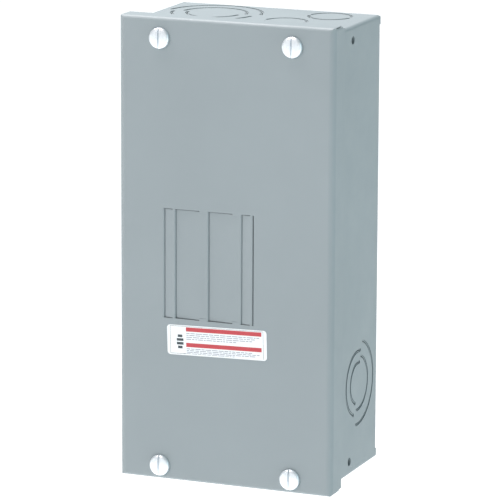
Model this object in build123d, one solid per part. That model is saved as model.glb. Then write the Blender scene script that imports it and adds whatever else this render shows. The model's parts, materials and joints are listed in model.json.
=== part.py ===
"""Small surface-mounted load center: a sheet-steel box with a screw-on cover, and the bus
interior and neutral bar inside it.

Millimetres. The origin is the middle of the box's back face, which lies on the wall.
+X is to the right seen from the front, +Y points into the wall, +Z is up.
"""
import math
import os

from build123d import *

# ---- driving dimensions -------------------------------------------------------------------
SHEET = 1.2                # steel sheet of the box, cover and pan
BEND = 2.4                 # outside radius of a sheet bend
COVER_BEND = 3.2           # outside radius of the cover's bends
COVER_END_BEND = 1.7       # the same at its top and bottom
COVER_CORNER_RADIUS = 1.6  # cover corners, seen from the front
END_BEND = 2.0             # outside radius where an end wall turns down to its rim
END_CORNER_RADIUS = 0.8    # rear corners of an end wall's rim, seen from above
END_RIM = 5.0              # height of an end wall's turned-down rim
BOX_WIDTH = 113.5
BOX_HEIGHT = 240.0
OVERALL_DEPTH = 76.0       # wall to the cover's front face
COVER_WIDTH = 120.0
COVER_HEIGHT = 246.5
COVER_FLANGE = 14.5        # how far the cover's sides reach back over the box
COVER_END_FLANGE = 11.6    # how far its top and bottom reach back
COVER_RISE = 0.5           # cover centre above box centre
BODY_GAP = 0.3             # between the cover's skin and the box's front edges
RUNNING_GAP = 0.05         # radial, between a screw and its threaded hole
SCREW_GAP = 0.3            # radial, between a screw and its clearance hole
SEAT_GAP = 0.02            # between a cover screw's head and the cover

# cover screws (number 10)
SCREW_X = 36.9
TOP_SCREW_Z = 112.8
BOTTOM_SCREW_Z = -115.3
COVER_SCREW_RADIUS = 2.35
COVER_SCREW_HEAD_RADIUS = 5.55
COVER_SCREW_HEAD_HEIGHT = 2.3
COVER_SCREW_LENGTH = 12.0
COVER_HOLE_RADIUS = 2.8
COVER_SLOT_DEPTH = 1.3
COLLAR_LENGTH = 2.6        # depth of the tapped collar in the box's flange
COLLAR_WALL = 0.9
END_FLANGE = 13.7          # how far an end wall's front flange reaches into the opening
END_TAB = 11.0             # depth of an end wall's weld tabs, from its outside
END_TAB_INSET = 8.0        # from the front and the back to the ends of a side tab
BACK_TAB_INSET = 6.0       # from the side walls to the ends of the rear tab
SLOT_WIDTH = 1.1

# twistouts: two breaker-wide plates with a narrow strip at each side
POLE_PITCH = 18.6
POLES = 2
POLE_CENTRE_X = -9.3
STRIP_WIDTH = 6.25
TWISTOUT_LOW_Z = -35.1
TWISTOUT_HIGH_Z = 23.3
LANCE = 0.16               # width of a slit beside a plate or strip
END_LANCE = 0.3            # width of the slits above and below them
PLATE_SET_BACK = 0.9       # how far a plate's left edge is pressed in
STRIP_SET_BACK = 0.6
PLATE_CUT = 13.4           # length of a plate's top and bottom slit
STRIP_TIE = 1.6
TIE_OVERLAP = 0.9          # how far a tie runs into the metal at each end
WIDE_SLIT = 0.45           # the slit beside the right strip has opened
CORNER_SEAM = 0.5          # open seam at each corner of the cover's flanges
COVER_ROLLOVER = 1.0       # radius of the edge drawn down beside the left strip by the shear
STRIP_ROLLOVER = 0.8       # the same on the left strip's right edge
PLATE_ROLLOVER = 0.9       # the same on a plate's right edge

# knockouts, by the hole that each leaves
KNOCKOUT_SLIT = 0.5        # width of a sheared slit
KNOCKOUT_GROOVE = 1.8      # width over which the shear draws the sheet down beside it
KNOCKOUT_LIP = 0.4         # thickness of the sheet's edge at the slit
KNOCKOUT_TIE = 10.0        # degrees of metal left on each side of a small knockout's tie
TRADE_HALF = 22.2
TRADE_THREE_QUARTER = 28.6
TRADE_ONE = 34.9
TRADE_ONE_QUARTER = 44.5
TRADE_ONE_HALF = 50.8
KNOCKOUT_Y = -29.5
SIDE_KNOCKOUT_Z = -72.3
END_KNOCKOUT_X = -25.9
SMALL_KNOCKOUTS = [(19.0, -41.0), (34.5, -16.5)]
BACK_KNOCKOUT = (-9.3, -92.0)

# holes in the box
SIDE_HOLE_RADIUS = 2.2
SIDE_HOLE_Y = -41.2
SIDE_HOLE_SPACING = 225.0
WALL_HOLE_RADIUS = 3.2
WALL_HOLE_SPACING_X = 76.2
WALL_HOLE_SPACING_Z = 203.2

# screws of the interior
SMALL_SCREW_RADIUS = 1.7
SMALL_HOLE_RADIUS = 1.75
SMALL_HEAD_HEIGHT = 1.7
SMALL_SLOT_DEPTH = 0.8
DRIVER_SLOT_WIDTH = 0.9
PAN_SCREW_RADIUS = 2.0
PAN_SCREW_HEAD_RADIUS = 3.9
PAN_SCREW_HEAD_HEIGHT = 2.0
PAN_SCREW_TIP_Y = -0.1     # the tips stay inside the box's back face
RIVET_RADIUS = 1.6
RIVET_HEAD_RADIUS = 3.0
RIVET_HEAD_HEIGHT = 1.3
RIVET_TAIL_RADIUS = 2.4

# interior
PAN_FRONT_Y = -14.0
PAN_LOW_Z = -62.0
PAN_HIGH_Z = 92.0
PAN_HALF_WIDTH = 26.0
PAN_FOOT = 8.0
PAN_SCREW_INSET = 12.0     # from the pan's ends to its screws
INSULATOR_FRONT_Y = -26.0
INSULATOR_LOW_Z = -8.0
INSULATOR_HIGH_Z = 90.0
INSULATOR_INSET = 3.0      # from the pan's sides
INSULATOR_CORNER_RADIUS = 2.5
EDGE_RAIL_WIDTH = 2.0
EDGE_RAIL_HEIGHT = 5.0
EDGE_RAIL_Z = (6.0, 86.0)
BARRIER_THICKNESS = 2.4
BARRIER_PROUD = 4.0        # how far the barrier stands in front of the lugs
BARRIER_Z = (38.0, 80.0)
COUNTERBORE_RADIUS = 4.2
COUNTERBORE_DEPTH = 4.0
TIP_TO_PAN = 7.5           # how far the bus screws' tips stay in front of the pan
RAIL_Z = -46.0
RAIL_FOOT = 14.0
RAIL_REACH = 16.0
RAIL_LIP = 5.0
RAIL_RIVET_DROP = 9.0
STAB_LOW_Z = 18.0
STAB_HIGH_Z = 30.0
STAB_REACH = 14.0
STAB_CHAMFER = 3.0
BUS_LOW_Z = 8.0
BUS_SCREW_Z = 14.0
BUS_THICKNESS = 2.0
BUS_WIDTH = 12.0
LUG_SIZE = (15.0, 18.0, 24.0)
LUG_LOW_Z = 58.0
LUG_EDGE_RADIUS = 0.8
LUG_BORE_RADIUS = 5.2
LUG_BORE_SET = 8.2         # from a lug's back to the middle of its wire bore
LUG_FIXING_DEPTH = 2.9     # from a lug's back to the top of its fixing screw
LUG_SLOT = (1.4, 2.2)      # width and depth
WIRE_CLEARANCE = 0.3       # between a backed-out binding screw and its wire bore
LUG_SCREW_RADIUS = 4.0
LUG_SCREW_LENGTH = 11.5

# neutral
NEUTRAL_X = 36.0
NEUTRAL_LOW_Z = -56.0
NEUTRAL_HIGH_Z = 58.0
NEUTRAL_BACK_Y = -24.0
NEUTRAL_WIDTH = 10.0
NEUTRAL_DEPTH = 11.0
TERMINAL_COUNT = 6
TERMINAL_PITCH = 8.6
TERMINAL_LOW_Z = -20.5
TERMINAL_BORE_RADIUS = 3.0
TERMINAL_SCREW_RADIUS = 2.2
TERMINAL_SCREW_LENGTH = 7.5
TERMINAL_BORE_SET = 4.8    # from the bar's back to the middle of a wire bore
TERMINAL_SLOT = (0.9, 1.4)
SUPPORT_WIDTH = 12.0
SUPPORT_RISE = 22.0        # the support starts this far above the neutral bar's end
SUPPORT_FOOT = 9.0
SUPPORT_FOOT_HEIGHT = 4.0
SUPPORT_HOLE_DEPTH = 9.0
SUPPORT_SCREW_DEPTH = 7.0
NEUTRAL_SCREW_BELOW = 7.5  # from the end terminals to the bar's own screws
NEUTRAL_SCREW_ABOVE = 6.2
NEUTRAL_LUG_LOW_Z = 34.0
NEUTRAL_LUG_STEP = 3.0     # thickness of the bar behind the neutral lug
BONDING_RISE = 6.0
BONDING_HEAD_RADIUS = 4.3
BONDING_HEAD_HEIGHT = 2.2

# cover label
LABEL_SIZE = (56.2, 16.0)
LABEL_CENTRE = (-4.5, -45.8)
LABEL_TILT = 1.5
LABEL_THICKNESS = 0.15
LABEL_CORNER_RADIUS = 1.8

# ---- worked out from them -----------------------------------------------------------------
COVER_FRONT_Y = -OVERALL_DEPTH
COVER_INNER_Y = COVER_FRONT_Y + SHEET
BOX_FRONT_Y = COVER_INNER_Y + BODY_GAP
HALF_WIDTH = BOX_WIDTH / 2
HALF_HEIGHT = BOX_HEIGHT / 2
SEAM_Z = HALF_HEIGHT - END_RIM
INNER_X = HALF_WIDTH - SHEET
INNER_Z = HALF_HEIGHT - SHEET
BACK_INNER_Y = -SHEET
TAPPED_RADIUS = COVER_SCREW_RADIUS + RUNNING_GAP
BUS_FRONT_Y = INSULATOR_FRONT_Y - BUS_THICKNESS
LUG_FRONT_Y = BUS_FRONT_Y - LUG_SIZE[1]
LUG_HIGH_Z = LUG_LOW_Z + LUG_SIZE[2]
LUG_SCREW_Z = LUG_LOW_Z + LUG_SIZE[2] / 2
NEUTRAL_FRONT_Y = NEUTRAL_BACK_Y - NEUTRAL_DEPTH
TERMINAL_BORE_Y = NEUTRAL_BACK_Y - TERMINAL_BORE_SET
PAN_LEFT = POLE_CENTRE_X - PAN_HALF_WIDTH
PAN_RIGHT = POLE_CENTRE_X + PAN_HALF_WIDTH
PAN_BACK_Y = PAN_FRONT_Y + SHEET
FOOT_FRONT_Y = BACK_INNER_Y - SHEET
RIVET_Z = RAIL_Z - RAIL_RIVET_DROP
BUS_SCREW_TIP_Y = PAN_FRONT_Y - TIP_TO_PAN
SUPPORT_LOW_Z = NEUTRAL_LOW_Z + SUPPORT_RISE
NEUTRAL_LUG_BACK_Y = NEUTRAL_BACK_Y - NEUTRAL_LUG_STEP
NEUTRAL_LUG_SCREW_Z = NEUTRAL_LUG_LOW_Z + LUG_SIZE[2] / 2
BONDING_Z = NEUTRAL_LOW_Z + BONDING_RISE
POLE_XS = [POLE_CENTRE_X + (i - (POLES - 1) / 2) * POLE_PITCH for i in range(POLES)]
THROUGH = 4 * SHEET        # a cutter long enough to pass a sheet on both sides


# ---- plain shapes -------------------------------------------------------------------------
def block(x_low, x_high, y_low, y_high, z_low, z_high):
    """A rectangular block between two opposite corners."""
    centre = ((x_low + x_high) / 2, (y_low + y_high) / 2, (z_low + z_high) / 2)
    return Pos(*centre) * Box(x_high - x_low, y_high - y_low, z_high - z_low)


def rod_x(radius, y, z, x_low, x_high):
    """A round rod along X."""
    return Pos((x_low + x_high) / 2, y, z) * Rot(0, 90, 0) * Cylinder(radius, x_high - x_low)


def rod_y(radius, x, z, y_low, y_high):
    """A round rod along Y."""
    return Pos(x, (y_low + y_high) / 2, z) * Rot(90, 0, 0) * Cylinder(radius, y_high - y_low)


def rod_z(radius, x, y, z_low, z_high):
    """A round rod along Z."""
    return Pos(x, y, (z_low + z_high) / 2) * Cylinder(radius, z_high - z_low)


def slotted_screw(
    x, z, seat_y, tip_y, radius, head_radius, head_height, slot_width, slot_depth, slot_angle=0.0
):
    """A slotted screw along Y with a low domed head whose underside is at seat_y."""
    head_top = seat_y - head_height
    head = rod_y(head_radius, x, z, head_top, seat_y)
    rim = head.edges().filter_by(GeomType.CIRCLE).sort_by(Axis.Y)[0]
    head = fillet(rim, 0.62 * head_height)
    screw = head + rod_y(radius, x, z, seat_y - 0.2, tip_y)
    tip = screw.edges().filter_by(GeomType.CIRCLE).sort_by(Axis.Y)[-1]
    screw = chamfer(tip, 0.25 * radius)
    slot = Box(slot_width, 2 * slot_depth, 3 * head_radius)
    return screw - Pos(x, head_top, z) * Rot(0, slot_angle, 0) * slot


def set_screw(x, z, front_y, length, radius, slot):
    """A headless binding screw along Y, slotted at the front; slot is its width and depth."""
    screw = rod_y(radius, x, z, front_y, front_y + length)
    rims = screw.edges().filter_by(GeomType.CIRCLE).sort_by(Axis.Y)
    screw = chamfer([rims[0], rims[-1]], 0.12 * radius)
    return screw - Pos(x, front_y, z) * Box(slot[0], 2 * slot[1], 3 * radius)


def small_screw(x, z, seat_y, tip_y, head_radius, slot_angle):
    """A slotted screw of the interior's small size."""
    return slotted_screw(
        x, z, seat_y, tip_y, SMALL_SCREW_RADIUS,
        head_radius, SMALL_HEAD_HEIGHT, DRIVER_SLOT_WIDTH, SMALL_SLOT_DEPTH, slot_angle
    )


# ---- knockouts ----------------------------------------------------------------------------
def arc_slit(diameter, start, span):
    """A sheared slit along part of a circle, with a groove beside it on both faces of the sheet."""
    path = CenterArc((0, 0), diameter / 2, start, span)
    slit = extrude(SlotArc(path, KNOCKOUT_SLIT), THROUGH / 2, both=True)
    groove = extrude(SlotArc(path, KNOCKOUT_GROOVE), THROUGH / 2, both=True)
    lip = extrude(SlotArc(path, 2 * KNOCKOUT_GROOVE), KNOCKOUT_LIP / 2, both=True)
    return slit + (groove - lip)


def concentric_slits(front_diameters, rear_diameters, rear_start, front_start, span):
    """Concentric knockouts: each ring is sheared on one half and tied on the other."""
    slits = [arc_slit(diameter, rear_start, span) for diameter in rear_diameters]
    slits += [arc_slit(diameter, front_start, span) for diameter in front_diameters]
    return slits


def small_knockout_slits(diameter):
    """One round knockout held by a tie at each side."""
    span = 180 - 2 * KNOCKOUT_TIE
    return [arc_slit(diameter, start, span) for start in (KNOCKOUT_TIE, 180 + KNOCKOUT_TIE)]


# ---- box ----------------------------------------------------------------------------------
def box_shell():
    """Back and both side walls, one sheet bent to a channel."""
    outer = block(-HALF_WIDTH, HALF_WIDTH, BOX_FRONT_Y, 0, -SEAM_Z, SEAM_Z)
    inner = block(-INNER_X, INNER_X, BOX_FRONT_Y - SHEET, BACK_INNER_Y, -HALF_HEIGHT, HALF_HEIGHT)
    outer = fillet(outer.edges().filter_by(Axis.Z).group_by(Axis.Y)[-1], BEND)
    inner = fillet(inner.edges().filter_by(Axis.Z).group_by(Axis.Y)[-1], BEND - SHEET)
    shell = outer - inner
    for side in (-1, 1):
        wall = Plane(
            origin=(side * (HALF_WIDTH - SHEET / 2), KNOCKOUT_Y, SIDE_KNOCKOUT_Z),
            x_dir=(0, 1, 0),
            z_dir=(1, 0, 0),
        )
        slits = concentric_slits(
            (TRADE_HALF, TRADE_ONE), (TRADE_THREE_QUARTER, TRADE_ONE_QUARTER), -96, 80, 168
        )
        for slit in slits:
            shell -= wall * slit
        for end in (-1, 1):
            hole_z = end * SIDE_HOLE_SPACING / 2
            wall_x = side * HALF_WIDTH
            shell -= rod_x(SIDE_HOLE_RADIUS, SIDE_HOLE_Y, hole_z, wall_x - THROUGH, wall_x + THROUGH)
    back = Plane(origin=(BACK_KNOCKOUT[0], -SHEET / 2, BACK_KNOCKOUT[1]), z_dir=(0, -1, 0))
    for slit in concentric_slits((TRADE_HALF,), (TRADE_THREE_QUARTER,), 8, 188, 164):
        shell -= back * slit
    for x, z, radius in back_holes():
        shell -= rod_y(radius, x, z, -THROUGH, THROUGH)
    return shell


def back_holes():
    """Holes through the back: wall screws, then the threads of the screws that hold the inside."""
    holes = [
        (i * WALL_HOLE_SPACING_X / 2, j * WALL_HOLE_SPACING_Z / 2, WALL_HOLE_RADIUS)
        for i in (-1, 1)
        for j in (-1, 1)
    ]
    holes += [(x, z, PAN_SCREW_RADIUS + RUNNING_GAP) for x, z in pan_screw_places()]
    holes += [(x, z, PAN_SCREW_RADIUS + RUNNING_GAP) for x, z in support_screw_places()]
    holes.append((NEUTRAL_X, BONDING_Z, PAN_SCREW_RADIUS + RUNNING_GAP))
    return holes


def end_block(half_width, y_low, y_high, z_low, z_high, bend, corner_radius):
    """A block whose top side and rear edges are bends that meet in mitres."""
    plain = block(-half_width, half_width, y_low, y_high, z_low, z_high)
    sides = fillet(plain.edges().filter_by(Axis.Y).group_by(Axis.Z)[-1], bend)
    rear = fillet(plain.edges().filter_by(Axis.X).group_by(Axis.Z)[-1].sort_by(Axis.Y)[-1], bend)
    shape = sides & rear
    if corner_radius:
        shape &= fillet(plain.edges().filter_by(Axis.Z).group_by(Axis.Y)[-1], corner_radius)
    return shape


def end_tray():
    """An end wall's outside: a plate whose side and rear edges turn down to a short rim."""
    outer = end_block(HALF_WIDTH, BOX_FRONT_Y, 0, SEAM_Z, HALF_HEIGHT, END_BEND, END_CORNER_RADIUS)
    inner = end_block(
        INNER_X, BOX_FRONT_Y - SHEET, BACK_INNER_Y, SEAM_Z - SHEET, INNER_Z, END_BEND - SHEET, 0
    )
    return outer - inner


def end_wall(side):
    """Top (side = 1) or bottom (side = -1) wall, with weld tabs and the flange for the cover."""
    tab_low_z = HALF_HEIGHT - END_TAB
    tab_front_y = BOX_FRONT_Y + END_TAB_INSET
    collar_y = BOX_FRONT_Y + COLLAR_LENGTH
    screw_z = abs(TOP_SCREW_Z if side > 0 else BOTTOM_SCREW_Z)
    flange_low_z = HALF_HEIGHT - END_FLANGE
    wall = end_tray()
    wall += block(-INNER_X, INNER_X, BOX_FRONT_Y, BOX_FRONT_Y + SHEET, flange_low_z, INNER_Z + SHEET / 2)
    for x_side in (-1, 1):
        x_low, x_high = sorted((x_side * INNER_X, x_side * (INNER_X - SHEET)))
        wall += block(x_low, x_high, tab_front_y, -END_TAB_INSET, tab_low_z, INNER_Z - END_BEND)
        root_low, root_high = sorted((x_side * (INNER_X + SHEET / 2), x_side * (INNER_X - SHEET)))
        wall += block(root_low, root_high, tab_front_y, -END_TAB_INSET, SEAM_Z, INNER_Z - SHEET)
        hole_ends = (x_low - THROUGH, x_high + THROUGH)
        wall -= rod_x(SIDE_HOLE_RADIUS, SIDE_HOLE_Y, SIDE_HOLE_SPACING / 2, *hole_ends)
        screw_x = x_side * SCREW_X
        wall += rod_y(TAPPED_RADIUS + COLLAR_WALL, screw_x, screw_z, BOX_FRONT_Y, collar_y)
        wall -= rod_y(TAPPED_RADIUS, screw_x, screw_z, BOX_FRONT_Y - 1, collar_y + 1)
    tab_x = INNER_X - BACK_TAB_INSET
    back_tab_y = BACK_INNER_Y - SHEET
    wall += block(-tab_x, tab_x, back_tab_y, BACK_INNER_Y, tab_low_z, INNER_Z - SHEET)
    wall += block(-tab_x, tab_x, back_tab_y, BACK_INNER_Y + SHEET / 2, SEAM_Z, INNER_Z - SHEET)
    plate_z = HALF_HEIGHT - SHEET / 2
    slits = concentric_slits(
        (TRADE_THREE_QUARTER, TRADE_ONE_QUARTER), (TRADE_ONE, TRADE_ONE_HALF), 8, 186, 166
    )
    for slit in slits:
        wall -= Plane(origin=(END_KNOCKOUT_X, KNOCKOUT_Y, plate_z)) * slit
    for x, y in SMALL_KNOCKOUTS:
        for slit in small_knockout_slits(TRADE_HALF):
            wall -= Plane(origin=(x, y, plate_z)) * slit
    return wall if side > 0 else mirror(wall, about=Plane.XY)


# ---- cover --------------------------------------------------------------------------------
def cover_block(half_width, y_low, y_high, z_low, z_high, bend, end_bend, corner_radius):
    """A block whose front edges are bends that meet in mitres."""
    plain = block(-half_width, half_width, y_low, y_high, z_low, z_high)
    sides = fillet(plain.edges().filter_by(Axis.Z).group_by(Axis.Y)[0], bend)
    ends = fillet(plain.edges().filter_by(Axis.X).group_by(Axis.Y)[0], end_bend)
    corners = fillet(plain.edges().filter_by(Axis.Y), corner_radius)
    return sides & ends & corners


def cover_pan():
    """The cover before its openings: a flat skin with four flanges and open corner seams."""
    half_width = COVER_WIDTH / 2
    low = COVER_RISE - COVER_HEIGHT / 2
    high = COVER_RISE + COVER_HEIGHT / 2
    rear_y = COVER_FRONT_Y + COVER_FLANGE
    outer = cover_block(
        half_width, COVER_FRONT_Y, rear_y, low, high,
        COVER_BEND, COVER_END_BEND, COVER_CORNER_RADIUS
    )
    inner = cover_block(
        half_width - SHEET, COVER_INNER_Y, rear_y + SHEET, low + SHEET, high - SHEET,
        COVER_BEND - SHEET, COVER_END_BEND - SHEET, COVER_CORNER_RADIUS - SHEET
    )
    pan = outer - inner
    end_rear_y = COVER_FRONT_Y + COVER_END_FLANGE
    for z_low, z_high in ((low - 1, low + COVER_CORNER_RADIUS), (high - COVER_CORNER_RADIUS, high + 1)):
        pan -= block(-half_width - 1, half_width + 1, end_rear_y, rear_y + 1, z_low, z_high)
    seam = Box(CORNER_SEAM, COVER_FLANGE, 3 * COVER_BEND)
    seam_y = COVER_FRONT_Y + COVER_BEND + COVER_FLANGE / 2
    for x_side in (-1, 1):
        for z_side, z_edge in ((-1, low), (1, high)):
            corner = Pos(x_side * (half_width - SHEET / 2), seam_y, z_edge - z_side * SHEET / 2)
            pan -= corner * Rot(0, 45 * x_side * z_side, 0) * seam
    return pan


def tie_spans(low, high):
    """Heights of the ties at a twistout's two ends."""
    return [(z - TIE_OVERLAP, z + TIE_OVERLAP) for z in (low, high)]


def twistout_plate(left, right):
    """A breaker-wide plate, tied at its right corners and pressed in along its left edge."""
    gap = LANCE / 2
    width = right - left - 2 * gap
    low = TWISTOUT_LOW_Z + END_LANCE
    high = TWISTOUT_HIGH_Z - END_LANCE
    lean = math.degrees(math.atan2(PLATE_SET_BACK, width))
    plate = Pos(right - gap, COVER_FRONT_Y, 0) * Rot(0, 0, -lean) * block(-width, 0, 0, SHEET, low, high)
    for z_low, z_high in tie_spans(low, high):
        plate += block(left + PLATE_CUT, right - gap, COVER_FRONT_Y, COVER_INNER_Y, z_low, z_high)
    return plate


def twistout_strip(left, right, tie_x):
    """A narrow strip beside the plates, tied at both ends and turned in about its tie."""
    low = TWISTOUT_LOW_Z + END_LANCE
    high = TWISTOUT_HIGH_Z - END_LANCE
    lean = math.degrees(math.atan2(STRIP_SET_BACK, tie_x - left))
    strip = block(left - tie_x, right - tie_x, 0, SHEET, low, high)
    strip = Pos(tie_x, COVER_FRONT_Y, 0) * Rot(0, 0, -lean) * strip
    tie_left, tie_right = tie_x - STRIP_TIE / 2, tie_x + STRIP_TIE / 2
    for z_low, z_high in tie_spans(low, high):
        strip += block(tie_left, tie_right, COVER_FRONT_Y, COVER_INNER_Y, z_low, z_high)
    return strip


def rollover(x, radius):
    """What the shear rounds off the edge on the left of a slit, whose wall is at x."""
    low, high = TWISTOUT_LOW_Z, TWISTOUT_HIGH_Z
    curve_y = COVER_FRONT_Y + radius
    square = block(x - radius, x + LANCE, COVER_FRONT_Y - 1, curve_y, low, high)
    return square - rod_z(radius, x - radius, curve_y, low - 1, high + 1)


def front_cover():
    """The lid: skin and flanges, four clearance holes, and the tied twistouts."""
    cover = cover_pan()
    half_plates = POLES * POLE_PITCH / 2
    left = POLE_CENTRE_X - half_plates - STRIP_WIDTH
    strip_right = POLE_CENTRE_X + half_plates + STRIP_WIDTH
    right = strip_right + WIDE_SLIT
    gap = LANCE / 2
    front_y, rear_y = COVER_FRONT_Y - 1, COVER_INNER_Y + 1
    cover -= block(left - gap, right, front_y, rear_y, TWISTOUT_LOW_Z, TWISTOUT_HIGH_Z)
    cover -= rollover(left - gap, COVER_ROLLOVER)
    for x in POLE_XS:
        pole_right = x + POLE_PITCH / 2
        cover += twistout_plate(x - POLE_PITCH / 2, pole_right)
        cover -= rollover(pole_right - gap, PLATE_ROLLOVER)
    first, last = POLE_CENTRE_X - half_plates - gap, POLE_CENTRE_X + half_plates + gap
    cover += twistout_strip(left + gap, first, first - STRIP_TIE / 2)
    cover -= rollover(first, STRIP_ROLLOVER)
    cover += twistout_strip(last, strip_right, strip_right - STRIP_TIE / 2)
    cover -= rollover(strip_right, STRIP_ROLLOVER)
    for x, z in cover_screw_places().values():
        cover -= rod_y(COVER_HOLE_RADIUS, x, z, COVER_FRONT_Y - 1, COVER_INNER_Y + 1)
    return cover


def cover_screw_places():
    """Where the four cover screws are, by name."""
    return {
        "top_left": (-SCREW_X, TOP_SCREW_Z),
        "top_right": (SCREW_X, TOP_SCREW_Z),
        "bottom_left": (-SCREW_X, BOTTOM_SCREW_Z),
        "bottom_right": (SCREW_X, BOTTOM_SCREW_Z),
    }


def cover_screw(x, z):
    """A zinc-plated slotted screw that holds the cover."""
    seat = COVER_FRONT_Y - SEAT_GAP
    return slotted_screw(
        x, z, seat, seat + COVER_SCREW_LENGTH, COVER_SCREW_RADIUS,
        COVER_SCREW_HEAD_RADIUS, COVER_SCREW_HEAD_HEIGHT, SLOT_WIDTH, COVER_SLOT_DEPTH
    )


def cover_label():
    """A thin sticker with round corners below the twistouts."""
    sheet = Box(LABEL_SIZE[0], LABEL_THICKNESS, LABEL_SIZE[1])
    sheet = fillet(sheet.edges().filter_by(Axis.Y), LABEL_CORNER_RADIUS)
    place = Pos(LABEL_CENTRE[0], COVER_FRONT_Y - LABEL_THICKNESS / 2, LABEL_CENTRE[1])
    return place * Rot(0, -LABEL_TILT, 0) * sheet


# ---- bus interior -------------------------------------------------------------------------
def pan_screw_places():
    """The four screws through the pan's feet."""
    xs = (PAN_LEFT - PAN_FOOT / 2, PAN_RIGHT + PAN_FOOT / 2)
    return [(x, z) for x in xs for z in (PAN_LOW_Z + PAN_SCREW_INSET, PAN_HIGH_Z - PAN_SCREW_INSET)]


def interior_pan():
    """A raised steel hat that carries the insulator and the hook rail."""
    pan = block(PAN_LEFT, PAN_RIGHT, PAN_FRONT_Y, BACK_INNER_Y, PAN_LOW_Z, PAN_HIGH_Z)
    pan = fillet(pan.edges().filter_by(Axis.Z).group_by(Axis.Y)[0], BEND)
    pan -= block(PAN_LEFT + SHEET, PAN_RIGHT - SHEET, PAN_BACK_Y, 0, PAN_LOW_Z - 1, PAN_HIGH_Z + 1)
    left_foot = (PAN_LEFT - PAN_FOOT, PAN_LEFT + SHEET)
    right_foot = (PAN_RIGHT - SHEET, PAN_RIGHT + PAN_FOOT)
    for x_low, x_high in (left_foot, right_foot):
        pan += block(x_low, x_high, FOOT_FRONT_Y, BACK_INNER_Y, PAN_LOW_Z, PAN_HIGH_Z)
    for x, z in pan_screw_places():
        pan -= rod_y(PAN_SCREW_RADIUS + SCREW_GAP, x, z, -THROUGH, 1)
    for x, z in insulator_screw_places():
        pan -= rod_y(SMALL_HOLE_RADIUS, x, z, PAN_FRONT_Y - 1, PAN_BACK_Y + 1)
    for x in rail_rivet_xs():
        pan -= rod_y(RIVET_RADIUS + RUNNING_GAP, x, RIVET_Z, PAN_FRONT_Y - 1, PAN_BACK_Y + 1)
    return pan


def pan_screw(x, z, seat_y, slot_angle):
    """A short screw into the box's back."""
    return slotted_screw(
        x, z, seat_y, PAN_SCREW_TIP_Y, PAN_SCREW_RADIUS,
        PAN_SCREW_HEAD_RADIUS, PAN_SCREW_HEAD_HEIGHT, DRIVER_SLOT_WIDTH, DRIVER_SLOT_WIDTH, slot_angle
    )


def pan_screws():
    """Four short screws that hold the pan to the box's back."""
    return [pan_screw(x, z, FOOT_FRONT_Y, 35) for x, z in pan_screw_places()]


def insulator_screw_places():
    """Two screws through the middle of the insulator, below and above the bus bars."""
    inset = COUNTERBORE_RADIUS + 1
    return [(POLE_CENTRE_X, INSULATOR_LOW_Z + inset), (POLE_CENTRE_X, INSULATOR_HIGH_Z - inset)]


def insulator_base():
    """Moulded base: a slab with a rail along each edge and a tall barrier between the lugs."""
    left, right = PAN_LEFT + INSULATOR_INSET, PAN_RIGHT - INSULATOR_INSET
    root_y = INSULATOR_FRONT_Y + 1
    base = block(left, right, INSULATOR_FRONT_Y, PAN_FRONT_Y, INSULATOR_LOW_Z, INSULATOR_HIGH_Z)
    base = fillet(base.edges().filter_by(Axis.Y), INSULATOR_CORNER_RADIUS)
    for x_low, x_high in ((left, left + EDGE_RAIL_WIDTH), (right - EDGE_RAIL_WIDTH, right)):
        base += block(x_low, x_high, INSULATOR_FRONT_Y - EDGE_RAIL_HEIGHT, root_y, *EDGE_RAIL_Z)
    barrier_front_y = LUG_FRONT_Y - BARRIER_PROUD
    barrier = block(-BARRIER_THICKNESS / 2, BARRIER_THICKNESS / 2, barrier_front_y, root_y, *BARRIER_Z)
    base += Pos(POLE_CENTRE_X, 0, 0) * barrier
    screw_places = [(x, z) for x in POLE_XS for z in bus_screw_zs()] + insulator_screw_places()
    for x, z in screw_places:
        base -= rod_y(SMALL_HOLE_RADIUS, x, z, INSULATOR_FRONT_Y - 1, PAN_FRONT_Y + 1)
    for x, z in insulator_screw_places():
        base -= rod_y(COUNTERBORE_RADIUS, x, z, INSULATOR_FRONT_Y - 1, INSULATOR_FRONT_Y + COUNTERBORE_DEPTH)
    return base


def insulator_screws():
    """Two screws that hold the insulator to the pan, in counterbores."""
    seat_y = INSULATOR_FRONT_Y + COUNTERBORE_DEPTH
    return [small_screw(x, z, seat_y, PAN_BACK_Y + 1.5, 3.6, 60) for x, z in insulator_screw_places()]


def bus_screw_zs():
    """Heights of the screws through each bus bar: below the lug, and inside it."""
    return [BUS_SCREW_Z, LUG_SCREW_Z]


def bus_bar(x):
    """A plated bar with a stab turned up along one edge near its lower end."""
    left, right = x - BUS_WIDTH / 2, x + BUS_WIDTH / 2
    bar = block(left, right, BUS_FRONT_Y, INSULATOR_FRONT_Y, BUS_LOW_Z, LUG_HIGH_Z)
    stab_front_y = BUS_FRONT_Y - STAB_REACH
    stab = block(right - BUS_THICKNESS, right, stab_front_y, INSULATOR_FRONT_Y, STAB_LOW_Z, STAB_HIGH_Z)
    bar += chamfer(stab.edges().filter_by(Axis.X).group_by(Axis.Y)[0], STAB_CHAMFER)
    for z in bus_screw_zs():
        bar -= rod_y(SMALL_SCREW_RADIUS + SCREW_GAP, x, z, BUS_FRONT_Y - 1, INSULATOR_FRONT_Y + 1)
    return bar


def bus_bar_screws():
    """One screw below each lug that holds the bus bar to the insulator."""
    return [small_screw(x, BUS_SCREW_Z, BUS_FRONT_Y, BUS_SCREW_TIP_Y, 3.4, 20) for x in POLE_XS]


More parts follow.
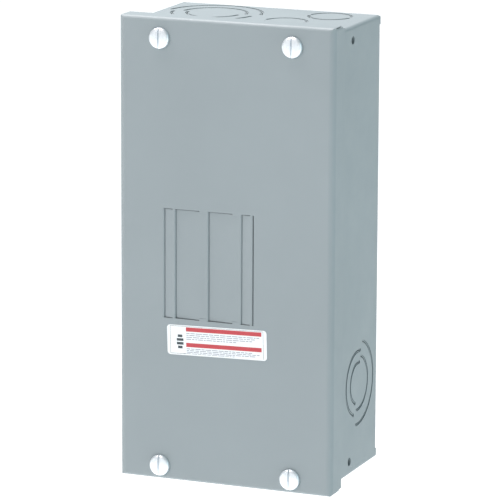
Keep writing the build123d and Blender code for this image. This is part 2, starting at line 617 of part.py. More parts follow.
def box_lug(x, back_y, low_z):
    """A box lug: a block with a wire bore along Z and a binding screw hole from the front."""
    width, depth, height = LUG_SIZE
    lug = block(x - width / 2, x + width / 2, back_y - depth, back_y, low_z, low_z + height)
    lug = fillet(lug.edges(), LUG_EDGE_RADIUS)
    bore_y = back_y - LUG_BORE_SET
    lug -= rod_z(LUG_BORE_RADIUS, x, bore_y, low_z - 1, low_z + height + 1)
    screw_z = low_z + height / 2
    lug -= rod_y(LUG_SCREW_RADIUS + RUNNING_GAP, x, screw_z, back_y - depth - 1, bore_y)
    lug -= rod_y(SMALL_HOLE_RADIUS, x, screw_z, bore_y, back_y + 1)
    return lug


def lug_screw(x, back_y, low_z):
    """The lug's binding screw, backed out until the wire bore is clear."""
    tip_y = back_y - LUG_BORE_SET - LUG_BORE_RADIUS - WIRE_CLEARANCE
    screw_z = low_z + LUG_SIZE[2] / 2
    return set_screw(x, screw_z, tip_y - LUG_SCREW_LENGTH, LUG_SCREW_LENGTH, LUG_SCREW_RADIUS, LUG_SLOT)


def lug_fixing_screw(x, back_y, low_z, tip_y):
    """The flush screw behind the wire bore that holds a lug to its bar."""
    screw_z = low_z + LUG_SIZE[2] / 2
    top_y = back_y - LUG_FIXING_DEPTH
    screw = rod_y(SMALL_SCREW_RADIUS, x, screw_z, top_y, tip_y)
    slot = Box(DRIVER_SLOT_WIDTH, 1.5 * DRIVER_SLOT_WIDTH, 3 * SMALL_SCREW_RADIUS)
    return screw - Pos(x, top_y, screw_z) * slot


def lug_fixing_screws():
    """The fixing screws of both main lugs."""
    return [lug_fixing_screw(x, BUS_FRONT_Y, LUG_LOW_Z, BUS_SCREW_TIP_Y) for x in POLE_XS]


def rail_rivet_xs():
    """The two rivets of the hook rail."""
    return [POLE_CENTRE_X - POLE_PITCH / 2, POLE_CENTRE_X + POLE_PITCH / 2]


def hook_rail():
    """Bent steel rail: each breaker's foot hooks over its lip."""
    left, right = POLE_CENTRE_X - POLE_PITCH - 1, POLE_CENTRE_X + POLE_PITCH + 1
    lip_y = PAN_FRONT_Y - RAIL_REACH
    rail = block(left, right, PAN_FRONT_Y - SHEET, PAN_FRONT_Y, RAIL_Z - RAIL_FOOT, RAIL_Z)
    rail += block(left, right, lip_y, PAN_FRONT_Y, RAIL_Z - SHEET, RAIL_Z)
    rail += block(left, right, lip_y, lip_y + SHEET, RAIL_Z - SHEET, RAIL_Z + RAIL_LIP)
    for x in POLE_XS:
        rail -= block(x - 3, x + 3, PAN_FRONT_Y - 12, PAN_FRONT_Y - 4, RAIL_Z - THROUGH, RAIL_Z + 1)
    for x in rail_rivet_xs():
        rail -= rod_y(RIVET_RADIUS + RUNNING_GAP, x, RIVET_Z, PAN_FRONT_Y - THROUGH, PAN_FRONT_Y + 1)
    return rail


def hook_rail_rivets():
    """Two rivets that fasten the hook rail to the pan."""
    rivets = []
    seat_y = PAN_FRONT_Y - SHEET
    for x in rail_rivet_xs():
        head = rod_y(RIVET_HEAD_RADIUS, x, RIVET_Z, seat_y - RIVET_HEAD_HEIGHT, seat_y)
        rim = head.edges().filter_by(GeomType.CIRCLE).sort_by(Axis.Y)[0]
        head = fillet(rim, 0.7 * RIVET_HEAD_HEIGHT)
        shank = rod_y(RIVET_RADIUS, x, RIVET_Z, seat_y - 0.1, PAN_BACK_Y + 0.1)
        tail = rod_y(RIVET_TAIL_RADIUS, x, RIVET_Z, PAN_BACK_Y, PAN_BACK_Y + 1)
        rivets.append(head + shank + tail)
    return rivets


# ---- neutral ------------------------------------------------------------------------------
def support_screw_places():
    """The two screws through the neutral support's feet."""
    half_foot = SUPPORT_FOOT / 2
    return [(NEUTRAL_X, SUPPORT_LOW_Z - half_foot), (NEUTRAL_X, NEUTRAL_HIGH_Z + half_foot)]


def neutral_support():
    """A moulded post that stands the neutral bar off the box's back."""
    left, right = NEUTRAL_X - SUPPORT_WIDTH / 2, NEUTRAL_X + SUPPORT_WIDTH / 2
    post = block(left, right, NEUTRAL_BACK_Y, BACK_INNER_Y, SUPPORT_LOW_Z, NEUTRAL_HIGH_Z)
    post = fillet(post.edges().filter_by(Axis.Y), 1.5)
    foot_y = BACK_INNER_Y - SUPPORT_FOOT_HEIGHT
    foot_low_z, foot_high_z = SUPPORT_LOW_Z - SUPPORT_FOOT, NEUTRAL_HIGH_Z + SUPPORT_FOOT
    post += block(left, right, foot_y, BACK_INNER_Y, foot_low_z, foot_high_z)
    for x, z in support_screw_places():
        post -= rod_y(PAN_SCREW_RADIUS + SCREW_GAP, x, z, foot_y - 1, 1)
    for z in neutral_bar_screw_zs() + [NEUTRAL_LUG_SCREW_Z]:
        hole_ends = (NEUTRAL_BACK_Y - 1, NEUTRAL_BACK_Y + SUPPORT_HOLE_DEPTH)
        post -= rod_y(SMALL_HOLE_RADIUS, NEUTRAL_X, z, *hole_ends)
    return post


def support_screws():
    """Two screws that hold the neutral support to the box's back."""
    seat_y = BACK_INNER_Y - SUPPORT_FOOT_HEIGHT
    return [pan_screw(x, z, seat_y, 70) for x, z in support_screw_places()]


def terminal_zs():
    """Heights of the neutral bar's branch terminals."""
    return [TERMINAL_LOW_Z + i * TERMINAL_PITCH for i in range(TERMINAL_COUNT)]


def neutral_bar_screw_zs():
    """Heights of the screws that hold the neutral bar to its support."""
    return [terminal_zs()[0] - NEUTRAL_SCREW_BELOW, terminal_zs()[-1] + NEUTRAL_SCREW_ABOVE]


def neutral_bar():
    """Aluminium bar with a crosswise wire bore and a screw hole at each terminal."""
    left, right = NEUTRAL_X - NEUTRAL_WIDTH / 2, NEUTRAL_X + NEUTRAL_WIDTH / 2
    bar = block(left, right, NEUTRAL_FRONT_Y, NEUTRAL_BACK_Y, NEUTRAL_LOW_Z, NEUTRAL_HIGH_Z)
    bar = chamfer(bar.edges().filter_by(Axis.Z), 0.5)
    before_y, behind_y = NEUTRAL_FRONT_Y - 1, NEUTRAL_BACK_Y + 1
    bar -= block(
        left - 1, right + 1, before_y, NEUTRAL_LUG_BACK_Y, NEUTRAL_LUG_LOW_Z - 1, NEUTRAL_HIGH_Z + 1
    )
    for z in terminal_zs():
        bar -= rod_x(TERMINAL_BORE_RADIUS, TERMINAL_BORE_Y, z, left - 1, right + 1)
        bar -= rod_y(TERMINAL_SCREW_RADIUS + RUNNING_GAP, NEUTRAL_X, z, before_y, TERMINAL_BORE_Y)
    for z in neutral_bar_screw_zs() + [NEUTRAL_LUG_SCREW_Z]:
        bar -= rod_y(SMALL_HOLE_RADIUS, NEUTRAL_X, z, before_y, behind_y)
    bar -= rod_y(PAN_SCREW_RADIUS + SCREW_GAP, NEUTRAL_X, BONDING_Z, before_y, behind_y)
    return bar


def neutral_bar_screws():
    """Two screws through the neutral bar into its support."""
    tip_y = NEUTRAL_BACK_Y + SUPPORT_SCREW_DEPTH
    return [
        small_screw(NEUTRAL_X, z, NEUTRAL_FRONT_Y, tip_y, 2.9, angle)
        for z, angle in zip(neutral_bar_screw_zs(), (15, 75))
    ]


def terminal_screw(z):
    """A branch terminal's binding screw, backed out until its wire bore is clear."""
    tip_y = TERMINAL_BORE_Y - TERMINAL_BORE_RADIUS - WIRE_CLEARANCE
    front_y = tip_y - TERMINAL_SCREW_LENGTH
    return set_screw(
        NEUTRAL_X, z, front_y, TERMINAL_SCREW_LENGTH, TERMINAL_SCREW_RADIUS, TERMINAL_SLOT
    )


def bonding_screw():
    """The long green screw that bonds the neutral bar to the box."""
    return slotted_screw(
        NEUTRAL_X, BONDING_Z, NEUTRAL_FRONT_Y, PAN_SCREW_TIP_Y, PAN_SCREW_RADIUS,
        BONDING_HEAD_RADIUS, BONDING_HEAD_HEIGHT, SLOT_WIDTH, SLOT_WIDTH, 50
    )


# ---- files --------------------------------------------------------------------------------
def build():
    """Every node's shape by name; a list is a group of identical separate solids."""
    nodes = {
        "box_shell": box_shell(),
        "top_end_wall": end_wall(1),
        "bottom_end_wall": end_wall(-1),
        "front_cover": front_cover(),
        "cover_label": cover_label(),
        "interior_pan": interior_pan(),
        "pan_screws": pan_screws(),
        "insulator_base": insulator_base(),
        "insulator_screws": insulator_screws(),
        "bus_bar_screws": bus_bar_screws(),
        "lug_fixing_screws": lug_fixing_screws(),
        "hook_rail": hook_rail(),
        "hook_rail_rivets": hook_rail_rivets(),
        "neutral_support": neutral_support(),
        "neutral_support_screws": support_screws(),
        "neutral_bar": neutral_bar(),
        "neutral_bar_screws": neutral_bar_screws(),
        "neutral_lug": box_lug(NEUTRAL_X, NEUTRAL_LUG_BACK_Y, NEUTRAL_LUG_LOW_Z),
        "neutral_lug_screw": lug_screw(NEUTRAL_X, NEUTRAL_LUG_BACK_Y, NEUTRAL_LUG_LOW_Z),
        "neutral_lug_fixing_screw": lug_fixing_screw(
            NEUTRAL_X, NEUTRAL_LUG_BACK_Y, NEUTRAL_LUG_LOW_Z, NEUTRAL_BACK_Y + SUPPORT_SCREW_DEPTH
        ),
        "bonding_screw": bonding_screw(),
    }
    for place, (x, z) in cover_screw_places().items():
        nodes[f"cover_screw_{place}"] = cover_screw(x, z)
    for letter, x in zip("ab", POLE_XS):
        nodes[f"bus_bar_{letter}"] = bus_bar(x)
        nodes[f"main_lug_{letter}"] = box_lug(x, BUS_FRONT_Y, LUG_LOW_Z)
        nodes[f"main_lug_screw_{letter}"] = lug_screw(x, BUS_FRONT_Y, LUG_LOW_Z)
    for number, z in enumerate(terminal_zs(), start=1):
        nodes[f"terminal_screw_{number}"] = terminal_screw(z)
    return nodes


def main():
    os.makedirs("parts", exist_ok=True)
    for name, shape in build().items():
        if isinstance(shape, list):
            shape = Compound(children=[piece.solids()[0] for piece in shape])
        export_step(shape, f"parts/{name}.step")


main()
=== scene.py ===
import json
import math

import bmesh
import bpy
from mathutils import Matrix, Quaternion, Vector


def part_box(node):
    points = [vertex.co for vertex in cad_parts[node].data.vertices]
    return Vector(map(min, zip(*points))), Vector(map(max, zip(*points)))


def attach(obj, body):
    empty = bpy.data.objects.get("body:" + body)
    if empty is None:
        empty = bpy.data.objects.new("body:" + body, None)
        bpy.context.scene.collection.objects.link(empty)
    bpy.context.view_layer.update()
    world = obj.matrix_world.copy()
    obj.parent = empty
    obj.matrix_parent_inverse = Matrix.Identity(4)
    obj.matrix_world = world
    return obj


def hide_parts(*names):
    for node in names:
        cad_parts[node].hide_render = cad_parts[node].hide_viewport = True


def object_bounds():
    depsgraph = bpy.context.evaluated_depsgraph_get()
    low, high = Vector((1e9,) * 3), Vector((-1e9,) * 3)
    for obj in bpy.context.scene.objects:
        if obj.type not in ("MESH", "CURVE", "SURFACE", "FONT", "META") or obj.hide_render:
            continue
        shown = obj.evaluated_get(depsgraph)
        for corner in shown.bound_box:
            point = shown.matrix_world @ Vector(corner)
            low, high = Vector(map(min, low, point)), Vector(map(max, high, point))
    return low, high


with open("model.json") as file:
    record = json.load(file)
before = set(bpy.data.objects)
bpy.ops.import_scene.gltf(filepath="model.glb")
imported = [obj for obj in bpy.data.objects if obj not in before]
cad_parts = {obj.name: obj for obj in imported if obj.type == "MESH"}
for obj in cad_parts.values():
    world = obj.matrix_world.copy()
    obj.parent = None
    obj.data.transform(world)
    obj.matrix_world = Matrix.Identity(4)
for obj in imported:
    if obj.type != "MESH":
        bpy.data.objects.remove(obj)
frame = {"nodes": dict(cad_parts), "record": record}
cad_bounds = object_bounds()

NODES = frame["nodes"]
MM = 0.001


# ---- shader helpers -----------------------------------------------------------------------
def scaled(color, factor):
    return tuple(min(1.0, channel * factor) for channel in color)


class Shader:
    """A new Principled material with short helpers for the nodes that feed it."""

    def __init__(self, name, color, metallic=0.0, roughness=0.5, specular=0.5):
        self.material = bpy.data.materials.new(name)
        self.material.use_nodes = True
        self.tree = self.material.node_tree
        self.bsdf = self.tree.nodes["Principled BSDF"]
        self.bsdf.inputs["Base Color"].default_value = (*color, 1.0)
        self.bsdf.inputs["Metallic"].default_value = metallic
        self.bsdf.inputs["Roughness"].default_value = roughness
        self.bsdf.inputs["Specular IOR Level"].default_value = specular
        self.place = self.node("ShaderNodeTexCoord").outputs["Object"]
        self.height = None

    def node(self, kind):
        return self.tree.nodes.new(kind)

    def link(self, source, target):
        self.tree.links.new(source, target)

    def noise(self, scale, detail=2.0, rough=0.5, stretch=None):
        """Noise in object space; scale is in features per metre."""
        noise = self.node("ShaderNodeTexNoise")
        noise.inputs["Scale"].default_value = scale
        noise.inputs["Detail"].default_value = detail
        noise.inputs["Roughness"].default_value = rough
        source = self.place
        if stretch:
            mapping = self.node("ShaderNodeMapping")
            mapping.inputs["Scale"].default_value = stretch
            self.link(source, mapping.inputs["Vector"])
            source = mapping.outputs["Vector"]
        self.link(source, noise.inputs["Vector"])
        return noise.outputs["Fac"]

    def cell_tones(self, scale):
        """A random tone of 0..1 for each Voronoi cell; scale is in cells per metre."""
        cells = self.node("ShaderNodeTexVoronoi")
        cells.inputs["Scale"].default_value = scale
        self.link(self.place, cells.inputs["Vector"])
        tone = self.node("ShaderNodeRGBToBW")
        self.link(cells.outputs["Color"], tone.inputs["Color"])
        return tone.outputs["Val"]

    def spread(self, value, low, high, from_low=0.3, from_high=0.7):
        """Maps a value from its own range, that of a noise if none is given, to low..high."""
        ramp = self.node("ShaderNodeMapRange")
        ramp.inputs["From Min"].default_value = from_low
        ramp.inputs["From Max"].default_value = from_high
        ramp.inputs["To Min"].default_value = low
        ramp.inputs["To Max"].default_value = high
        self.link(value, ramp.inputs["Value"])
        return ramp.outputs["Result"]

    def tint(self, value, dark, light):
        """Base colour that runs from dark to light with a value of 0..1."""
        mix = self.node("ShaderNodeMix")
        mix.data_type = "RGBA"
        mix.inputs["A"].default_value = (*dark, 1.0)
        mix.inputs["B"].default_value = (*light, 1.0)
        self.link(value, mix.inputs["Factor"])
        self.link(mix.outputs["Result"], self.bsdf.inputs["Base Color"])

    def mottle(self, noise, color, dark, light):
        """Base colour that wanders with a noise between two shades of one colour."""
        self.tint(self.spread(noise, 0.0, 1.0), scaled(color, dark), scaled(color, light))

    def painted_crevice_shade(self, reach, shade):
        """Painted shade: darkens the base colour by a factor deep in slits and corners, within reach
        metres.
        """
        crevice = self.node("ShaderNodeAmbientOcclusion")
        crevice.samples = 12
        crevice.only_local = True
        crevice.inputs["Distance"].default_value = reach
        # how much painted shade falls here, from the occlusion
        shade_amount = self.spread(crevice.outputs["AO"], 1.0, 0.0, from_low=0.15, from_high=0.8)
        mix = self.node("ShaderNodeMix")
        mix.data_type = "RGBA"
        mix.blend_type = "MULTIPLY"
        mix.inputs["B"].default_value = (shade, shade, shade, 1.0)
        self.link(shade_amount, mix.inputs["Factor"])
        self.link(self.bsdf.inputs["Base Color"].links[0].from_socket, mix.inputs["A"])
        self.link(mix.outputs["Result"], self.bsdf.inputs["Base Color"])

    def rough(self, value, low, high, from_low=0.3, from_high=0.7):
        self.link(self.spread(value, low, high, from_low, from_high), self.bsdf.inputs["Roughness"])

    def bump(self, value, distance):
        """Adds a bump of that height in metres on top of those made before it."""
        bump = self.node("ShaderNodeBump")
        bump.inputs["Strength"].default_value = 1.0
        bump.inputs["Distance"].default_value = distance
        self.link(value, bump.inputs["Height"])
        if self.height is not None:
            self.link(self.height, bump.inputs["Normal"])
        self.height = bump.outputs["Normal"]
        self.link(self.height, self.bsdf.inputs["Normal"])


# ---- materials ----------------------------------------------------------------------------
ENAMEL = (0.255, 0.305, 0.325)
ZINC = (0.78, 0.84, 0.88)
STEEL = (0.60, 0.62, 0.64)
ALUMINIUM = (0.70, 0.71, 0.72)
TIN = (0.74, 0.74, 0.73)
PAPER = (0.76, 0.82, 0.845)
BAND_RED = (0.465, 0.064, 0.076)
PRINT_GREY = (0.30, 0.34, 0.40)
PRINT_DARK = (0.055, 0.075, 0.085)
MOULDING = (0.024, 0.024, 0.026)
GREEN = (0.03, 0.22, 0.08)

LONG_STREAKS = (1.0, 1.0, 0.04)      # stretch of a noise along Z
SHORT_STREAKS = (1.0, 1.0, 0.05)


def enamel():
    """Baked enamel on sheet steel: fine orange peel, faint flow in the film, uneven gloss, and painted
    shade in its slits and corners.
    """
    shader = Shader("enamel", ENAMEL, roughness=0.52, specular=0.4)
    shader.mottle(shader.noise(14, detail=3.0), ENAMEL, 0.975, 1.025)
    # painted shade: darker deep in the slits and corners of the sheet
    shader.painted_crevice_shade(2.8 * MM, 0.42)
    shader.rough(shader.noise(60, detail=4.0, rough=0.6), 0.47, 0.58)
    shader.bump(shader.noise(420), 0.022 * MM)
    shader.bump(shader.noise(30, detail=1.0), 0.05 * MM)
    return shader.material


def zinc():
    """Bright zinc plate: satin, with faint mottling."""
    shader = Shader("zinc_plate", ZINC, metallic=0.75, roughness=0.34)
    shader.mottle(shader.noise(900, detail=3.0, rough=0.6), ZINC, 0.92, 1.05)
    shader.rough(shader.noise(1600, detail=3.0), 0.26, 0.42)
    shader.bump(shader.noise(2200, detail=3.0), 0.012 * MM)
    return shader.material


def galvanized():
    """Galvanized sheet: spangle cells of differing tone and gloss."""
    shader = Shader("galvanized", STEEL, metallic=1.0, roughness=0.42)
    spangle = shader.cell_tones(130)
    shader.tint(spangle, scaled(STEEL, 0.84), scaled(STEEL, 1.14))
    shader.rough(spangle, 0.34, 0.52, from_low=0.0, from_high=1.0)
    shader.bump(shader.noise(700), 0.01 * MM)
    return shader.material


def drawn_metal(name, color, stretch):
    """Extruded or rolled bar: fine streaks along Z."""
    shader = Shader(name, color, metallic=1.0, roughness=0.36)
    streaks = shader.noise(1500, detail=3.0, rough=0.6, stretch=stretch)
    shader.mottle(streaks, color, 0.88, 1.05)
    shader.rough(streaks, 0.28, 0.46)
    shader.bump(streaks, 0.012 * MM)
    return shader.material


def moulding():
    """Black phenolic moulding: fine matte grain."""
    shader = Shader("black_moulding", MOULDING, roughness=0.55, specular=0.4)
    shader.mottle(shader.noise(300, detail=3.0), MOULDING, 0.8, 1.35)
    shader.rough(shader.noise(500, detail=3.0), 0.46, 0.64)
    shader.bump(shader.noise(1800), 0.02 * MM)
    return shader.material


def label_paper():
    """Coated white sticker stock."""
    shader = Shader("label_stock", PAPER, roughness=0.4, specular=0.4)
    shader.mottle(shader.noise(250, detail=4.0), PAPER, 0.985, 1.01)
    shader.rough(shader.noise(400), 0.34, 0.46)
    shader.bump(shader.noise(900), 0.004 * MM)
    return shader.material


def ink(name, color):
    """Printed ink with a little unevenness."""
    shader = Shader(name, color, roughness=0.45, specular=0.35)
    shader.mottle(shader.noise(1200, detail=4.0), color, 0.93, 1.07)
    shader.rough(shader.noise(900), 0.4, 0.52)
    return shader.material


def green_finish():
    """Green dyed plating of the bonding screw."""
    shader = Shader("green_finish", GREEN, metallic=0.6, roughness=0.35)
    shader.mottle(shader.noise(900, detail=3.0), GREEN, 0.85, 1.2)
    shader.rough(shader.noise(1200, detail=3.0), 0.28, 0.44)
    shader.bump(shader.noise(2000), 0.01 * MM)
    return shader.material


def stage_white():
    """Pale floor paper with a glow of its own, so that it stays white away from the lamps."""
    shader = Shader("stage_white", (0.93, 0.93, 0.93), roughness=0.9, specular=0.1)
    shader.tint(shader.spread(shader.noise(3), 0.0, 1.0), (0.92, 0.92, 0.92), (0.94, 0.94, 0.94))
    shader.bsdf.inputs["Emission Color"].default_value = (1.0, 1.0, 1.0, 1.0)
    shader.bsdf.inputs["Emission Strength"].default_value = 0.72
    return shader.material


MATERIALS = {
    "grey_enamel": enamel(),
    "zinc_plate": zinc(),
    "label_stock": label_paper(),
    "galvanized": galvanized(),
    "black_moulding": moulding(),
    "tinned_bus": drawn_metal("tinned_bus", TIN, LONG_STREAKS),
    "lug_aluminium": drawn_metal("lug_aluminium", ALUMINIUM, SHORT_STREAKS),
    "green_finish": green_finish(),
}


def paint_nodes():
    """Gives every CAD node the finish of its slot."""
    for part in frame["record"]["subparts"]:
        cad = NODES[part["node"]]
        for slot in cad.material_slots:
            slot.material = MATERIALS[part["material_slot"]]


# ---- piece helpers ------------------------------------------------------------------------
BOX_SIDES = ((0, 1, 2, 3), (7, 6, 5, 4), (0, 4, 5, 1), (1, 5, 6, 2), (2, 6, 7, 3), (3, 7, 4, 0))


def add_piece(name, mesh, body, material):
    """Links a mesh as a piece that rides on a body."""
    piece = bpy.data.objects.new(name, mesh)
    bpy.context.scene.collection.objects.link(piece)
    mesh.materials.append(material)
    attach(piece, body)
    return piece


def node_center(node):
    low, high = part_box(node)
    return (Vector(low) + Vector(high)) / 2


def boxes_mesh(name, boxes):
    """One mesh of separate closed boxes, each given by its eight corners in order."""
    verts, faces = [], []
    for corners in boxes:
        base = len(verts)
        verts += corners
        faces += [tuple(base + i for i in side) for side in BOX_SIDES]
    mesh = bpy.data.meshes.new(name)
    mesh.from_pydata(verts, [], faces)
    return mesh


# ---- sticker: places and sizes in mm from its centre --------------------------------------
LABEL_TILT = math.radians(1.5)
INK_THICKNESS = 0.012 * MM

BAND_LEFT, BAND_RIGHT = -17.4, 25.2
BAND_TOPS = (7.0, -1.3)
BAND_HEIGHT = 2.25

RULE_LEFT, RULE_RIGHT = -17.2, 25.0
RULE_HEIGHT = 0.42
RULES = (                  # level of each grey rule, and how far it stops short of the right end
    (3.75, 1.0), (2.75, 3.0), (1.7, 5.0), (0.65, 14.0),
    (-4.5, 4.0), (-5.4, 1.0), (-6.3, 3.0),
)
FOOT_LEFT, FOOT_RIGHT = -19.0, 10.0
FOOT_LEVEL, FOOT_HEIGHT = -7.1, 0.3
DASH_SHORTEST, DASH_VARIATION, DASH_GAP = 1.0, 2.6, 0.45

BORDER_LEFT, BORDER_RIGHT = -26.4, 26.2
BORDER_BOTTOM, BORDER_TOP = -7.35, 7.5
BORDER_WIDTH = 0.16

MARK_MIDDLE = -20.8
MARK_BARS = ((2.2, 1.3), (0.2, 1.9), (-1.8, 1.9), (-3.8, 1.3))      # level, half the width
MARK_HALF_HEIGHT = 0.7


def label_point(across, up, depth):
    """A point on the sticker: millimetres right and up from its centre, metres in front of its face."""
    low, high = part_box("cover_label")
    center = node_center("cover_label")
    x = across * math.cos(LABEL_TILT) - up * math.sin(LABEL_TILT)
    z = across * math.sin(LABEL_TILT) + up * math.cos(LABEL_TILT)
    return (center.x + x * MM, low[1] - depth, center.z + z * MM)


def ink_box(left, right, bottom, top):
    """Corners of a thin rectangle of ink on the sticker."""
    outline = [(left, bottom), (left, top), (right, top), (right, bottom)]
    back = [label_point(across, up, 0.0) for across, up in outline]
    front = [label_point(across, up, INK_THICKNESS) for across, up in outline]
    return back + front


def dashes(left, right, level, height, seed):
    """A grey rule broken into short dashes, of uneven lengths that follow from the seed."""
    rects = []
    at = left
    step = seed
    while at < right - DASH_SHORTEST:
        step = (step * 37 + 11) % 101
        length = DASH_SHORTEST + DASH_VARIATION * step / 100
        end = min(at + length, right)
        rects.append(ink_box(at, end, level - height / 2, level + height / 2))
        at = end + DASH_GAP
    return rects


def print_on_label(name, boxes, ink_name, color):
    """Adds boxes of one ink to the sticker."""
    add_piece(name, boxes_mesh(name, boxes), "cover", ink(ink_name, color))


def print_bands():
    """Two plain colour bands."""
    bands = [ink_box(BAND_LEFT, BAND_RIGHT, top - BAND_HEIGHT, top) for top in BAND_TOPS]
    print_on_label("label_bands", bands, "ink_red", BAND_RED)


def print_rules():
    """Grey rules under each band and one at the foot, where the real sticker has its print."""
    rules = []
    for number, (level, shorten) in enumerate(RULES):
        rules += dashes(RULE_LEFT, RULE_RIGHT - shorten, level, RULE_HEIGHT, seed=17 + 13 * number)
    rules += dashes(FOOT_LEFT, FOOT_RIGHT, FOOT_LEVEL, FOOT_HEIGHT, seed=71)
    print_on_label("label_rules", rules, "ink_grey", PRINT_GREY)


def print_border():
    """A thin border, open below the bands, and at the left a plain mark of four bars."""
    inner_left, inner_right = BORDER_LEFT + BORDER_WIDTH, BORDER_RIGHT - BORDER_WIDTH
    border = [
        ink_box(BORDER_LEFT, inner_left, BORDER_BOTTOM, BORDER_TOP),
        ink_box(inner_right, BORDER_RIGHT, BORDER_BOTTOM, BORDER_TOP),
        ink_box(inner_left, inner_right, BORDER_TOP - BORDER_WIDTH, BORDER_TOP),
        ink_box(inner_left, BAND_LEFT, BORDER_BOTTOM, BORDER_BOTTOM + BORDER_WIDTH),
    ]
    for level, half_width in MARK_BARS:
        left, right = MARK_MIDDLE - half_width, MARK_MIDDLE + half_width
        border.append(ink_box(left, right, level - MARK_HALF_HEIGHT, level + MARK_HALF_HEIGHT))
    print_on_label("label_border", border, "ink_dark", PRINT_DARK)


# ---- screws -------------------------------------------------------------------------------
LATHE_STEPS = 48
RINGS_PER_TURN = 6           # along one turn of a thread
SHARP_ANGLE = math.radians(32)
EDGE_BREAK = 0.12 * MM       # bevel of every edge sharper than the angle below
EDGE_BREAK_ANGLE = math.radians(50)

HEAD_HEIGHT = 2.3 * MM
HEAD_CROWN = 0.35 * MM       # rise of the middle of the head over the start of its round edge
HEAD_ROUND = 1.1 * MM        # radius of that edge
HEAD_CHAMFER = 0.12 * MM     # under the head's rim
CROWN_STEPS = 8
ROUND_STEPS = 6

COVER_SHANK_RADIUS = 2.35 * MM
COVER_PITCH = 0.8 * MM
COVER_THREAD_DEPTH = 0.3 * MM
COVER_NECK = 0.2 * MM        # from the head to the first ring of the shank
COVER_THREAD_START = 0.6 * MM      # from the head to the thread
COVER_POINT = 0.7 * MM       # tapered length at the tip
COVER_TIP_RADIUS = 0.72 * COVER_SHANK_RADIUS
COVER_SLOT_WIDTH = 1.1 * MM
COVER_SLOT_DEPTH = 1.3 * MM


def lathe(profile):
    """A closed mesh of revolution about Y from (radius, y) points that start and end on the axis."""
    mesh = bmesh.new()
    angles = [2 * math.pi * i / LATHE_STEPS for i in range(LATHE_STEPS)]
    rings = []
    for radius, y in profile:
        if radius == 0:
            rings.append([mesh.verts.new((0, y, 0))])
        else:
            rings.append([mesh.verts.new((radius * math.cos(a), y, radius * math.sin(a))) for a in angles])
    for first, second in zip(rings, rings[1:]):
        for i in range(LATHE_STEPS):
            j = (i + 1) % LATHE_STEPS
            corners = [first[i % len(first)], first[j % len(first)]]
            corners += [second[j % len(second)], second[i % len(second)]]
            mesh.faces.new(list(dict.fromkeys(corners)))
    bmesh.ops.recalc_face_normals(mesh, faces=mesh.faces)
    return mesh


def shank_rings(radius, start, end, pitch):
    """Rings of one radius from start to end, close enough together to carry a thread."""
    rings = max(2, round((end - start) / pitch * RINGS_PER_TURN))
    return [(radius, start + (end - start) * i / rings) for i in range(rings + 1)]


def cut_thread(mesh, start, end, pitch, depth):
    """Presses a helical thread into the rings between start and end, fading out at both ends."""
    for vert in mesh.verts:
        x, y, z = vert.co
        radius = math.hypot(x, z)
        if radius == 0 or not start < y < end:
            continue
        turn = (y / pitch - math.atan2(z, x) / (2 * math.pi)) % 1.0
        valley = 1.0 - abs(2.0 * turn - 1.0)
        fade = min(1.0, (y - start) / pitch, (end - y) / pitch)
        scale = 1.0 - depth * valley * fade / radius
        vert.co = (x * scale, y, z * scale)


def slotted(name, mesh, top, width, depth, length):
    """The turned screw with a slot cut across its top and its edges broken, as mesh data."""
    body = bpy.data.objects.new(name, bpy.data.meshes.new(name))
    mesh.to_mesh(body.data)
    mesh.free()
    cutter_mesh = bmesh.new()
    bmesh.ops.create_cube(cutter_mesh, size=1.0)
    bmesh.ops.scale(cutter_mesh, vec=(width, 2 * depth, length), verts=cutter_mesh.verts)
    cutter = bpy.data.objects.new(name + "_cutter", bpy.data.meshes.new(name + "_cutter"))
    cutter_mesh.to_mesh(cutter.data)
    cutter_mesh.free()
    cutter.location = (0, top, 0)
    for item in (body, cutter):
        bpy.context.scene.collection.objects.link(item)
    cut = body.modifiers.new("slot", "BOOLEAN")
    cut.operation = "DIFFERENCE"
    cut.solver = "EXACT"
    cut.object = cutter
    bevel = body.modifiers.new("edges", "BEVEL")
    bevel.width = EDGE_BREAK
    bevel.segments = 2
    bevel.limit_method = "ANGLE"
    bevel.angle_limit = EDGE_BREAK_ANGLE
    bpy.context.view_layer.update()
    result = bpy.data.meshes.new_from_object(body.evaluated_get(bpy.context.evaluated_depsgraph_get()))
    result.name = name
    for item in (cutter, body):
        data = item.data
        bpy.data.objects.remove(item)
        bpy.data.meshes.remove(data)
    return result


def smooth(piece):
    """Shades a piece smooth, apart from its sharp edges."""
    mesh = bmesh.new()
    mesh.from_mesh(piece.data)
    for face in mesh.faces:
        face.smooth = True
    for edge in mesh.edges:
        edge.smooth = len(edge.link_faces) == 2 and edge.calc_face_angle(0.0) < SHARP_ANGLE
    mesh.to_mesh(piece.data)
    mesh.free()


def replace_screw(node, mesh):
    """Puts a detailed screw in a CAD screw's place, on the body that has the same name."""
    center = node_center(node)
    mesh.transform(Matrix.Translation((center.x, 0, center.z)))
    piece = add_piece(node + "_detail", mesh, node, MATERIALS["zinc_plate"])
    smooth(piece)
    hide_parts(node)


def head_profile(top, head_radius):
    """Outline of a low crowned head, from the axis round its edge to its underside."""
    flat_radius = head_radius - HEAD_ROUND
    seat = top + HEAD_HEIGHT
    outline = []
    for i in range(CROWN_STEPS + 1):
        share = i / CROWN_STEPS
        outline.append((flat_radius * share, top + HEAD_CROWN * share ** 2))
    for i in range(1, ROUND_STEPS + 1):
        turn = i / ROUND_STEPS * math.pi / 2
        round_x = flat_radius + HEAD_ROUND * math.sin(turn)
        outline.append((round_x, top + HEAD_CROWN + HEAD_ROUND * (1 - math.cos(turn))))
    outline += [(head_radius, seat - HEAD_CHAMFER), (head_radius - HEAD_CHAMFER, seat)]
    return outline


